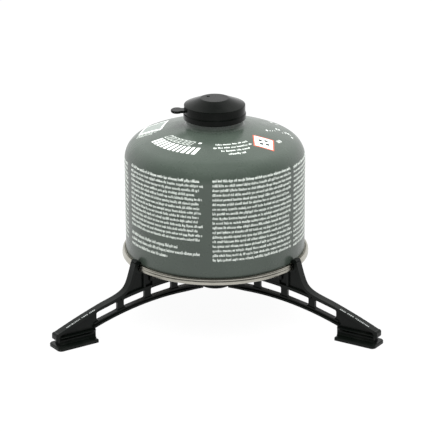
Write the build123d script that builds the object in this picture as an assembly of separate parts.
"""Screw-valve gas canister, 230 g size, clipped on a folding three-leg stand.

Units are millimetres. The origin is on the floor, under the canister's axis. +Z is up.
The front legs open towards -X and +X of the -Y direction, and the rear leg lies along +Y.
"""
import os
from math import atan2, cos, degrees, hypot, pi, radians, sin, sqrt

from build123d import *

# canister body
BODY_R = 52.75
SHEET = 0.5
RIM_R = 55.0
RIM_BOTTOM = 35.8
RIM_TOP = 39.6
WALL_TOP = 95.0
SHOULDER_R = 12.7
CROWN_R = 114.4
BASE_RISE = 8.0

# neck of the dome and valve cup clinched over it
NECK_R = 16.4
NECK_FOOT_R = 18.6
NECK_LIP_R = 15.9
NECK_TOP = 119.6
NECK_BORE_R = 13.4
GASKET_THICK = 0.4
CUP_SKIRT_BOTTOM = 118.6
CUP_WALL_R = 13.3
CUP_FLOOR = 113.5
PEDESTAL_R = 7.2

# standard 7/16 inch thread collar of the valve
THREAD_R = 5.556
THREAD_BOTTOM = 116.5
THREAD_TOP = 126.6
COLLAR_MOUTH_R = 3.6

# valve inside the collar
SEAL_THICK = 1.0
SEAL_HOLE_R = 1.6
STEM_R = 1.5
STEM_TOP = 125.9
STEM_TRAVEL = 1.8
STEM_FLANGE_R = 2.6
STEM_FLANGE_THICK = 1.3
STEM_TAIL_R = 1.3
STEM_TAIL_BOTTOM = 118.0
HOUSING_R = 4.95
HOUSING_BORE_R = 2.9
HOUSING_FLOOR = 114.6
HOUSING_BOTTOM = 112.4
HOUSING_INLET_R = 1.0
SPRING_WIRE_R = 0.2
SPRING_MEAN_R = 2.1
SPRING_TURNS = 6

# push-fit valve cap with its pull tab
CAP_BOTTOM = 119.0
CAP_RING_R = 18.25
CAP_RING_TOP = 122.2
CAP_SKIRT_R = 17.85
CAP_SHOULDER = 127.1
CAP_TOP = 131.0
CAP_TOP_R = 8.2
CAP_WALL = 1.3
CAP_GRIP_R = 16.5
CAP_GRIP_TOP = 120.8
GATE_AT = (-3.7, 3.6)
GATE_R = 0.7
GATE_DEPTH = 0.4
TAB_CENTRE_R = 21.8
TAB_R = 3.7
TAB_HALF_WIDTH = 4.4
TAB_NECK = 6.4
TAB_THICK = 1.5
TAB_HEIGHT = 122.6

# stand: where the legs point, in degrees anticlockwise from +X seen from above
LEG_SPREAD = 57.0
LEFT_AZIMUTH = 270.0 - LEG_SPREAD
RIGHT_AZIMUTH = 270.0 + LEG_SPREAD
REAR_AZIMUTH = 90.0

# leg plan
WEB = 2.0
FLANGE = 5.0
ARM_INNER_R = 9.4
TAPER_END_R = 22.0
FLANGE_THICK = 1.7
LOWER_FLANGE_THICK = 1.1

# leg side view
ARCH_TOP = 16.3
ARCH_CENTRE_R = 30.0
ARCH_DROP = 0.0029
WINDOW_FLOOR = 19.5
WINDOW_CENTRE_R = 22.0
WINDOW_DROP = 0.0023
WINDOW_HEIGHT = 5.3
WINDOW_CORNER = 1.4
WINDOW_OUTER_R = 83.1
WINDOW_PITCH = 18.6
WINDOW_LENGTH = 14.4
WINDOW_COUNT = 4
CHORD_ABOVE_FLOOR = 7.4
BACK_PEAK = 33.8
BACK_CENTRE_R = -11.0
BACK_DROP = 0.00169
TIP_R = 110.2
TIP_LIP_THICK = 2.8
TIP_LIP_DEPTH = 4.4

# hook tower of a leg
TOWER_START_R = 69.0
NOTCH_WALL_R = 55.3
NOTCH_FLOOR = 35.65
NOTCH_ROOF = 39.95
NOTCH_CORNER = 0.8
RIB = 1.4
NOSE_R = 53.1
HORN_TOP = 42.5
POST_R = 50.2
SMALL_SEAT_OUTER_R = 45.6
SMALL_SEAT_INNER_R = 35.5
SMALL_SEAT_FLOOR = 29.2

# foot of a leg
FOOT_INNER_R = 84.9
FOOT_OUTER_R = 111.2
FOOT_WIDTH = 13.0
FOOT_PLATE = 2.0
FOOT_CORNER = 2.4
FOOT_BLOCK_WIDTH = 6.4
FOOT_BLOCK_TOP = 6.7
FOOT_BLOCK_OUTER_R = 108.6
FOOT_HOLLOW = 2.2

# hub
KNUCKLE_R = 8.9
KNUCKLE_THICK = 2.9
KNUCKLE_PITCH = 3.05
KNUCKLE_BOTTOM = 15.6
KNUCKLE_BORE_R = 2.55
RIVET_R = 2.5
RIVET_BORE_R = 1.5
RIVET_HEAD_R = 4.4
RIVET_HEAD_THICK = 0.9
WASHER_R = 5.4
WASHER_THICK = 0.5


def turned(points):
    """Solid of revolution about Z of a closed outline of (radius, height) points."""
    return revolve(Plane.XZ * make_face(Polyline(*points, close=True)), Axis.Z)


def tube(outer, inner, bottom, top):
    """Upright ring between two radii and two heights."""
    ring = Circle(outer) - Circle(inner)
    return extrude(Pos(0, 0, bottom) * ring, top - bottom)


def side_plate(face, width):
    """Face drawn in radius and height, thickened evenly to both sides of the leg's middle."""
    return extrude(Plane.XZ * face, width / 2, both=True)


def curve_points(height, start, end, count=9):
    """Points along a leg edge whose height is a function of the radius."""
    radii = [start + (end - start) * i / (count - 1) for i in range(count)]
    return [(r, height(r)) for r in radii]


def offset_points(points, distance):
    """Points moved sideways from the path through them, to its right-hand side."""
    moved = []
    for i, (r, z) in enumerate(points):
        before = points[max(i - 1, 0)]
        after = points[min(i + 1, len(points) - 1)]
        run = after[0] - before[0]
        rise = after[1] - before[1]
        length = hypot(run, rise)
        moved.append((r + rise / length * distance, z - run / length * distance))
    return moved


def band(points, thickness):
    """Face of even thickness along a smooth path, on its right-hand side."""
    inner = offset_points(points, thickness)
    edges = Curve() + Spline(*points) + Line(points[-1], inner[-1])
    edges += Spline(*reversed(inner)) + Line(inner[0], points[0])
    return make_face(edges)


def crown_centre():
    """Height of the centre of the dome's crown arc, tangent inside to the shoulder arc."""
    return WALL_TOP - sqrt((CROWN_R - SHOULDER_R) ** 2 - (BODY_R - SHOULDER_R) ** 2)


def crown_height(r, inset=0.0):
    """Height of the dome's crown at a radius."""
    return crown_centre() + sqrt((CROWN_R - inset) ** 2 - r ** 2)


def dome_face(inset):
    """Half section of the space under the canister's skin, moved in by the inset."""
    centre_r = BODY_R - SHOULDER_R
    tilt = atan2(WALL_TOP - crown_centre(), centre_r)
    body_r = BODY_R - inset
    shoulder = SHOULDER_R - inset
    join_r = (CROWN_R - inset) * cos(tilt)
    join = (join_r, crown_centre() + (CROWN_R - inset) * sin(tilt))
    mid = (centre_r + shoulder * cos(tilt / 2), WALL_TOP + shoulder * sin(tilt / 2))
    foot_r = NECK_FOOT_R - inset
    foot = (foot_r, crown_height(foot_r, inset))
    half_r = (join_r + foot_r) / 2
    neck_r = NECK_R - inset
    neck_z = foot[1] + (NECK_FOOT_R - NECK_R)
    bend = (NECK_FOOT_R - NECK_R) * (1 - cos(pi / 4))
    bend_mid = (neck_r + bend, foot[1] + bend)
    lip_r = NECK_LIP_R - inset
    lip_z = CUP_SKIRT_BOTTOM - 0.1 - inset
    top = NECK_TOP - inset
    edges = Curve() + Line((0, RIM_TOP), (body_r, RIM_TOP))
    edges += Line((body_r, RIM_TOP), (body_r, WALL_TOP))
    edges += ThreePointArc((body_r, WALL_TOP), mid, join)
    edges += ThreePointArc(join, (half_r, crown_height(half_r, inset)), foot)
    edges += ThreePointArc(foot, bend_mid, (neck_r, neck_z))
    edges += Polyline((neck_r, neck_z), (neck_r, lip_z), (lip_r, lip_z), (lip_r, top), (0, top))
    edges += Line((0, top), (0, RIM_TOP))
    return make_face(edges)


def canister_shell():
    """One-piece drawn wall, dome and neck, open at the bottom and at the valve."""
    skin = revolve(Plane.XZ * (dome_face(0.0) - dome_face(SHEET)), Axis.Z)
    mouth = Pos(0, 0, NECK_TOP) * Cylinder(NECK_BORE_R, 4 * SHEET)
    return skin - mouth


def canister_base():
    """Inward-domed bottom with the rolled seam ring that closes on the wall."""
    wall_r = BODY_R - SHEET
    ring = [
        (wall_r, RIM_TOP),
        (BODY_R + 0.5, RIM_TOP + 0.4),
        (RIM_R - 1.0, RIM_TOP),
        (RIM_R - 0.3, RIM_TOP - 0.7),
        (RIM_R - 0.5, RIM_TOP - 1.1),
        (RIM_R, RIM_TOP - 1.6),
        (RIM_R, RIM_BOTTOM + 0.6),
        (RIM_R - 0.6, RIM_BOTTOM),
        (RIM_R - 1.5, RIM_BOTTOM),
        (RIM_R - 2.1, RIM_BOTTOM + 0.6),
        (wall_r, RIM_TOP - 1.4),
    ]
    seam = turned(ring) - Pos(0, 0, RIM_TOP + 1) * Cylinder(BODY_R, 2)
    low = RIM_TOP - 1.4
    mid = (wall_r * 0.6, low + BASE_RISE * 0.64)
    top = (0, low + BASE_RISE)
    under = ThreePointArc((wall_r, low), mid, top)
    over = ThreePointArc((0, top[1] + SHEET), (mid[0], mid[1] + SHEET), (wall_r, low + SHEET))
    section = Curve() + under + Line(top, (0, top[1] + SHEET))
    section += over + Line((wall_r, low + SHEET), (wall_r, low))
    return seam + revolve(Plane.XZ * make_face(section), Axis.Z)


def valve_mounting_cup():
    """Cup clinched over the neck, rising in the middle to the threaded collar."""
    over = NECK_TOP + GASKET_THICK
    inner = CUP_WALL_R - SHEET
    bore = THREAD_R - SHEET
    outline = [
        (NECK_R, CUP_SKIRT_BOTTOM),
        (NECK_R, over + SHEET),
        (inner, over + SHEET),
        (inner, CUP_FLOOR + SHEET),
        (PEDESTAL_R, CUP_FLOOR + SHEET),
        (THREAD_R, THREAD_BOTTOM),
        (THREAD_R, THREAD_TOP),
        (COLLAR_MOUTH_R, THREAD_TOP),
        (COLLAR_MOUTH_R, THREAD_TOP - SHEET),
        (bore, THREAD_TOP - SHEET),
        (bore, THREAD_BOTTOM - SHEET),
        (PEDESTAL_R - SHEET, CUP_FLOOR),
        (CUP_WALL_R, CUP_FLOOR),
        (CUP_WALL_R, over),
        (NECK_LIP_R, over),
        (NECK_LIP_R, CUP_SKIRT_BOTTOM),
    ]
    return turned(outline)


def valve_cup_gasket():
    """Flat rubber ring squeezed between the neck and the valve cup."""
    return tube(NECK_LIP_R, NECK_BORE_R, NECK_TOP, NECK_TOP + GASKET_THICK)


def valve_stem_seal():
    """Rubber disc under the collar's mouth that the stem closes on."""
    top = THREAD_TOP - SHEET
    return tube(THREAD_R - SHEET, SEAL_HOLE_R, top - SEAL_THICK, top)


def valve_housing():
    """Plastic barrel under the seal that holds the stem and its spring."""
    top = THREAD_TOP - SHEET - SEAL_THICK
    barrel = tube(HOUSING_R, HOUSING_BORE_R, HOUSING_BOTTOM, top)
    floor = tube(HOUSING_BORE_R, HOUSING_INLET_R, HOUSING_BOTTOM, HOUSING_FLOOR)
    return barrel + floor


def valve_stem():
    """Pin that the burner pushes down, with the flange that seals from below."""
    flange_top = THREAD_TOP - SHEET - SEAL_THICK
    flange_bottom = flange_top - STEM_FLANGE_THICK
    outline = [
        (0, STEM_TAIL_BOTTOM),
        (STEM_TAIL_R, STEM_TAIL_BOTTOM),
        (STEM_TAIL_R, flange_bottom),
        (STEM_FLANGE_R, flange_bottom),
        (STEM_FLANGE_R, flange_top),
        (STEM_R, flange_top),
        (STEM_R, STEM_TOP),
        (0, STEM_TOP),
    ]
    return turned(outline)


def valve_spring():
    """Coil spring that pushes the stem's flange up against the seal."""
    top = THREAD_TOP - SHEET - SEAL_THICK - STEM_FLANGE_THICK - SPRING_WIRE_R
    bottom = HOUSING_FLOOR + SPRING_WIRE_R
    height = top - bottom
    coil = Helix(pitch=height / SPRING_TURNS, height=height, radius=SPRING_MEAN_R)
    wire = Plane(coil @ 0, z_dir=coil % 0) * Circle(SPRING_WIRE_R)
    return Pos(0, 0, bottom) * sweep(wire, path=coil)


def valve_cap():
    """Moulded push-fit cap with a coned top, a lower ring and a pull tab."""
    inner_r = CAP_SKIRT_R - CAP_WALL
    roof = CAP_TOP - CAP_WALL
    outline = [
        (CAP_GRIP_R, CAP_BOTTOM),
        (CAP_RING_R - 0.2, CAP_BOTTOM),
        (CAP_RING_R, CAP_BOTTOM + 0.2),
        (CAP_RING_R, CAP_RING_TOP),
        (CAP_SKIRT_R, CAP_RING_TOP + 0.4),
        (CAP_SKIRT_R, CAP_SHOULDER),
        (CAP_TOP_R, CAP_TOP),
        (0, CAP_TOP),
        (0, roof),
        (CAP_TOP_R - 0.4, roof),
        (inner_r, CAP_SHOULDER - 0.8),
        (inner_r, CAP_GRIP_TOP),
        (CAP_GRIP_R, CAP_GRIP_TOP),
    ]
    neck_length = TAB_CENTRE_R - CAP_SKIRT_R + CAP_WALL / 2
    neck_mid = CAP_SKIRT_R - CAP_WALL / 2 + neck_length / 2
    tab = Pos(-TAB_CENTRE_R, 0) * Ellipse(TAB_R, TAB_HALF_WIDTH)
    tab += Pos(-neck_mid, 0) * Rectangle(neck_length, TAB_NECK)
    plate = extrude(Pos(0, 0, TAB_HEIGHT) * tab, TAB_THICK)
    dimple = Pos(*GATE_AT, CAP_TOP) * Cylinder(GATE_R, 2 * GATE_DEPTH)
    return turned(outline) + plate - dimple


def arch_height(r):
    """Lower edge of a leg."""
    return ARCH_TOP - ARCH_DROP * (r - ARCH_CENTRE_R) ** 2


def window_floor(r):
    """Lower edge of the leg's windows."""
    return WINDOW_FLOOR - WINDOW_DROP * (r - WINDOW_CENTRE_R) ** 2


def chord_height(r):
    """Upper edge of the bar above the windows, from the hub to the tower."""
    return window_floor(r) + CHORD_ABOVE_FLOOR


def back_height(r):
    """Upper edge of a leg outside the tower."""
    return BACK_PEAK - BACK_DROP * (r - BACK_CENTRE_R) ** 2


def tower_back():
    """Outer edge of the leg from the tip up to the top of the hook."""
    climb = [(62.6, 26.9), (60.3, 31.3), (58.4, 37.0), (57.2, HORN_TOP - 1.5)]
    return curve_points(back_height, TIP_R, TOWER_START_R, 6) + climb


def arm_web():
    """Thin side of the arm, let into the flanges along its lower and upper edges."""
    lower = curve_points(lambda r: arch_height(r) + LOWER_FLANGE_THICK / 2, ARM_INNER_R, FOOT_INNER_R)
    upper = curve_points(lambda r: chord_height(r) - FLANGE_THICK / 2, TOWER_START_R - 2, ARM_INNER_R)
    outer = [(r, back_height(r) - 0.5) for r in (FOOT_INNER_R, TOWER_START_R)]
    edges = Curve() + Spline(*lower) + Polyline(lower[-1], *outer, upper[0])
    edges += Spline(*upper) + Line(upper[-1], lower[0])
    return make_face(edges)


def arm_window(index):
    """One of the openings along the arm, counted inwards."""
    outer_r = WINDOW_OUTER_R - index * WINDOW_PITCH
    inner_r = outer_r - WINDOW_LENGTH
    corners = [
        (outer_r, window_floor(outer_r)),
        (outer_r, window_floor(outer_r) + WINDOW_HEIGHT),
        (inner_r, window_floor(inner_r) + WINDOW_HEIGHT),
        (inner_r, window_floor(inner_r)),
    ]
    opening = make_face(Polyline(*corners, close=True))
    return fillet(opening.vertices(), WINDOW_CORNER)


def tip_web():
    """Thin side of the arm outside the windows, over the foot."""
    corners = [
        (FOOT_INNER_R - 1, FOOT_PLATE / 2),
        (FOOT_BLOCK_OUTER_R - 1, FOOT_PLATE / 2),
        (FOOT_BLOCK_OUTER_R, back_height(FOOT_BLOCK_OUTER_R) - 0.5),
        (FOOT_INNER_R - 1, back_height(FOOT_INNER_R - 1) - 0.5),
    ]
    return make_face(Polyline(*corners, close=True))


def tower_web():
    """Thin side of the hook tower, with the notch for the canister's rim left out."""
    back = offset_points(tower_back()[5:], -FLANGE_THICK / 2)
    front = [
        (NOTCH_WALL_R + 0.8, HORN_TOP),
        (NOSE_R + 0.7, HORN_TOP - 0.6),
        (NOSE_R, HORN_TOP - 1.5),
        (NOSE_R, NOTCH_ROOF + 0.3),
        (NOSE_R + 0.3, NOTCH_ROOF),
        (NOTCH_WALL_R, NOTCH_ROOF),
        (NOTCH_WALL_R, NOTCH_FLOOR + NOTCH_CORNER),
        (NOTCH_WALL_R - NOTCH_CORNER, NOTCH_FLOOR),
        (SMALL_SEAT_OUTER_R, NOTCH_FLOOR),
        (SMALL_SEAT_OUTER_R, SMALL_SEAT_FLOOR),
        (SMALL_SEAT_INNER_R + 0.6, SMALL_SEAT_FLOOR),
        (SMALL_SEAT_INNER_R, SMALL_SEAT_FLOOR - 0.6),
        (SMALL_SEAT_INNER_R, chord_height(SMALL_SEAT_INNER_R) - 1),
        (TOWER_START_R, back_height(TOWER_START_R) - 2),
    ]
    return make_face(Curve() + Spline(*back) + Polyline(back[-1], *front, back[0]))


def notch_rib():
    """Raised lining of the rim notch and of the hook's nose."""
    inside = [
        (NOSE_R, HORN_TOP - 1.5),
        (NOSE_R, NOTCH_ROOF + 0.3),
        (NOSE_R + 0.3, NOTCH_ROOF),
        (NOTCH_WALL_R, NOTCH_ROOF),
        (NOTCH_WALL_R, NOTCH_FLOOR + NOTCH_CORNER),
        (NOTCH_WALL_R - NOTCH_CORNER, NOTCH_FLOOR),
        (SMALL_SEAT_OUTER_R, NOTCH_FLOOR),
        (SMALL_SEAT_OUTER_R, NOTCH_FLOOR - RIB),
    ]
    outside = [
        (NOTCH_WALL_R, NOTCH_FLOOR - RIB),
        (NOTCH_WALL_R + RIB, NOTCH_FLOOR),
        (NOTCH_WALL_R + RIB, HORN_TOP - 2),
        (NOTCH_WALL_R + 1.9, HORN_TOP - 1),
        (NOTCH_WALL_R + 0.8, HORN_TOP),
        (NOSE_R + 0.7, HORN_TOP - 0.6),
    ]
    return make_face(Polyline(*inside, *outside, close=True))


def upright(r, bottom, top):
    """Short standing rib of the tower."""
    return Pos(r + RIB / 2, (bottom + top) / 2) * Rectangle(RIB, top - bottom)


def small_seat():
    """Solid step that takes the rim of the next smaller canister."""
    bottom = chord_height(SMALL_SEAT_INNER_R) - 1
    corners = [
        (SMALL_SEAT_OUTER_R, bottom),
        (SMALL_SEAT_OUTER_R, SMALL_SEAT_FLOOR),
        (SMALL_SEAT_INNER_R + 0.6, SMALL_SEAT_FLOOR),
        (SMALL_SEAT_INNER_R, SMALL_SEAT_FLOOR - 0.6),
        (SMALL_SEAT_INNER_R, bottom),
    ]
    return make_face(Polyline(*corners, close=True))


def foot():
    """Flat foot plate with the waisted block that carries the leg's tip."""
    length = FOOT_OUTER_R - FOOT_INNER_R
    outline = Pos((FOOT_OUTER_R + FOOT_INNER_R) / 2, 0) * Rectangle(length, FOOT_WIDTH)
    outline = fillet(outline.vertices().group_by(Axis.X)[-1], FOOT_CORNER)
    outline = fillet(outline.vertices().group_by(Axis.X)[0], FOOT_CORNER / 3)
    plate = extrude(outline, FOOT_PLATE)
    plate = chamfer(plate.faces().sort_by(Axis.Z)[-1].edges(), 0.4)
    block_length = FOOT_BLOCK_OUTER_R - FOOT_INNER_R
    block_mid = (FOOT_BLOCK_OUTER_R + FOOT_INNER_R) / 2
    block_height = FOOT_BLOCK_TOP - FOOT_PLATE / 2
    centre = Pos(block_mid, 0, FOOT_PLATE / 2 + block_height / 2)
    block = centre * Box(block_length, FOOT_BLOCK_WIDTH, block_height)
    hollow_z = (FOOT_PLATE + FOOT_BLOCK_TOP) / 2
    hollow = Cylinder(FOOT_HOLLOW, block_length + 2, rotation=(0, 90, 0))
    for side in (-1, 1):
        block -= Pos(block_mid, side * (FOOT_BLOCK_WIDTH / 2 + 0.8), hollow_z) * hollow
    return plate + block


def arm_plan():
    """Plan wedge that narrows the arm towards the hub, so that folded legs lie side by side."""
    slope = (FLANGE - WEB) / 2 / (TAPER_END_R - ARM_INNER_R)
    far_r = FOOT_OUTER_R + 5
    far_half = WEB / 2 + slope * (far_r - ARM_INNER_R)
    near_r = ARM_INNER_R - 2
    corners = [(near_r, WEB / 2), (ARM_INNER_R, WEB / 2), (far_r, far_half)]
    corners += [(r, -y) for r, y in reversed(corners)]
    return extrude(make_face(Polyline(*corners, close=True)), HORN_TOP + 5)


def leg_arm():
    """Arm, hook tower and tip of a leg pointing along +X."""
    bar = band(curve_points(chord_height, TOWER_START_R - 2, ARM_INNER_R), -FLANGE_THICK)
    back = band(tower_back(), -FLANGE_THICK)
    sole = band(curve_points(arch_height, ARM_INNER_R, FOOT_INNER_R + 0.5), -LOWER_FLANGE_THICK)
    sill_points = curve_points(lambda r: window_floor(r) - LOWER_FLANGE_THICK, ARM_INNER_R, FOOT_INNER_R)
    sill = band(sill_points, -LOWER_FLANGE_THICK)
    arm = side_plate(arm_web(), WEB) + side_plate(tip_web(), WEB) + side_plate(tower_web(), WEB)
    arm += side_plate(bar, FLANGE) + side_plate(back, FLANGE) + side_plate(sole, FLANGE)
    arm += side_plate(sill, WEB + 1.2) + side_plate(notch_rib(), FLANGE - 0.4)
    arm += side_plate(small_seat(), FLANGE - 0.4)
    lip_centre = Pos(TIP_R - TIP_LIP_THICK / 2 + 0.8, back_height(TIP_R) - TIP_LIP_DEPTH / 2 + 0.4)
    lip = lip_centre * RectangleRounded(TIP_LIP_THICK, TIP_LIP_DEPTH, 1.3)
    arm += side_plate(lip, FLANGE)
    arm += side_plate(upright(POST_R, chord_height(POST_R) - 1, NOTCH_FLOOR), FLANGE - 0.6)
    arm += side_plate(upright(SMALL_SEAT_OUTER_R, SMALL_SEAT_FLOOR - 1, NOTCH_FLOOR), FLANGE - 0.4)
    for index in range(WINDOW_COUNT):
        arm -= side_plate(arm_window(index), 2 * FLANGE)
    return arm & arm_plan()


def knuckle(level):
    """Bored disc at one level of the hub, with the tongue that joins it to its arm."""
    bottom = KNUCKLE_BOTTOM + level * KNUCKLE_PITCH
    disc = Pos(0, 0, bottom + KNUCKLE_THICK / 2) * Cylinder(KNUCKLE_R, KNUCKLE_THICK)
    tongue = Pos(KNUCKLE_R, 0, bottom + KNUCKLE_THICK / 2) * Box(2.0, WEB, KNUCKLE_THICK)
    bore = Pos(0, 0, bottom + KNUCKLE_THICK / 2) * Cylinder(KNUCKLE_BORE_R, 2 * KNUCKLE_THICK)
    return disc + tongue - bore


def leg(azimuth, level):
    """Whole leg turned to its open position."""
    return Rot(0, 0, azimuth) * (leg_arm() + foot() + knuckle(level))


def stack_bottom():
    """Underside of the hub's stack of knuckles."""
    return KNUCKLE_BOTTOM


def stack_top():
    """Top of the hub's stack of knuckles."""
    return KNUCKLE_BOTTOM + 2 * KNUCKLE_PITCH + KNUCKLE_THICK


def hub_rivet():
    """Tubular rivet through the three knuckles and the two washers."""
    low = stack_bottom() - WASHER_THICK
    high = stack_top() + WASHER_THICK
    shank = tube(RIVET_R, RIVET_BORE_R, low - RIVET_HEAD_THICK, high + RIVET_HEAD_THICK)
    lower_head = tube(RIVET_HEAD_R, RIVET_R, low - RIVET_HEAD_THICK, low)
    upper_head = tube(RIVET_HEAD_R, RIVET_R, high, high + RIVET_HEAD_THICK)
    return shank + lower_head + upper_head


def hub_washers():
    """Two flat washers between the rivet's heads and the stack."""
    low = stack_bottom() - WASHER_THICK
    lower = tube(WASHER_R, KNUCKLE_BORE_R, low, stack_bottom())
    upper = tube(WASHER_R, KNUCKLE_BORE_R, stack_top(), stack_top() + WASHER_THICK)
    return Compound(children=[lower, upper])


def save(name, part):
    """Write one sub-part."""
    export_step(part, f"parts/{name}.step")


os.makedirs("parts", exist_ok=True)
save("canister_shell", canister_shell())
save("canister_base", canister_base())
save("valve_mounting_cup", valve_mounting_cup())
save("valve_cup_gasket", valve_cup_gasket())
save("valve_stem_seal", valve_stem_seal())
save("valve_housing", valve_housing())
save("valve_stem", valve_stem())
save("valve_spring", valve_spring())
save("valve_cap", valve_cap())
save("leg_front_left", leg(LEFT_AZIMUTH, 0))
save("leg_front_right", leg(RIGHT_AZIMUTH, 1))
save("leg_rear", leg(REAR_AZIMUTH, 2))
save("hub_rivet", hub_rivet())
save("hub_washers", hub_washers())
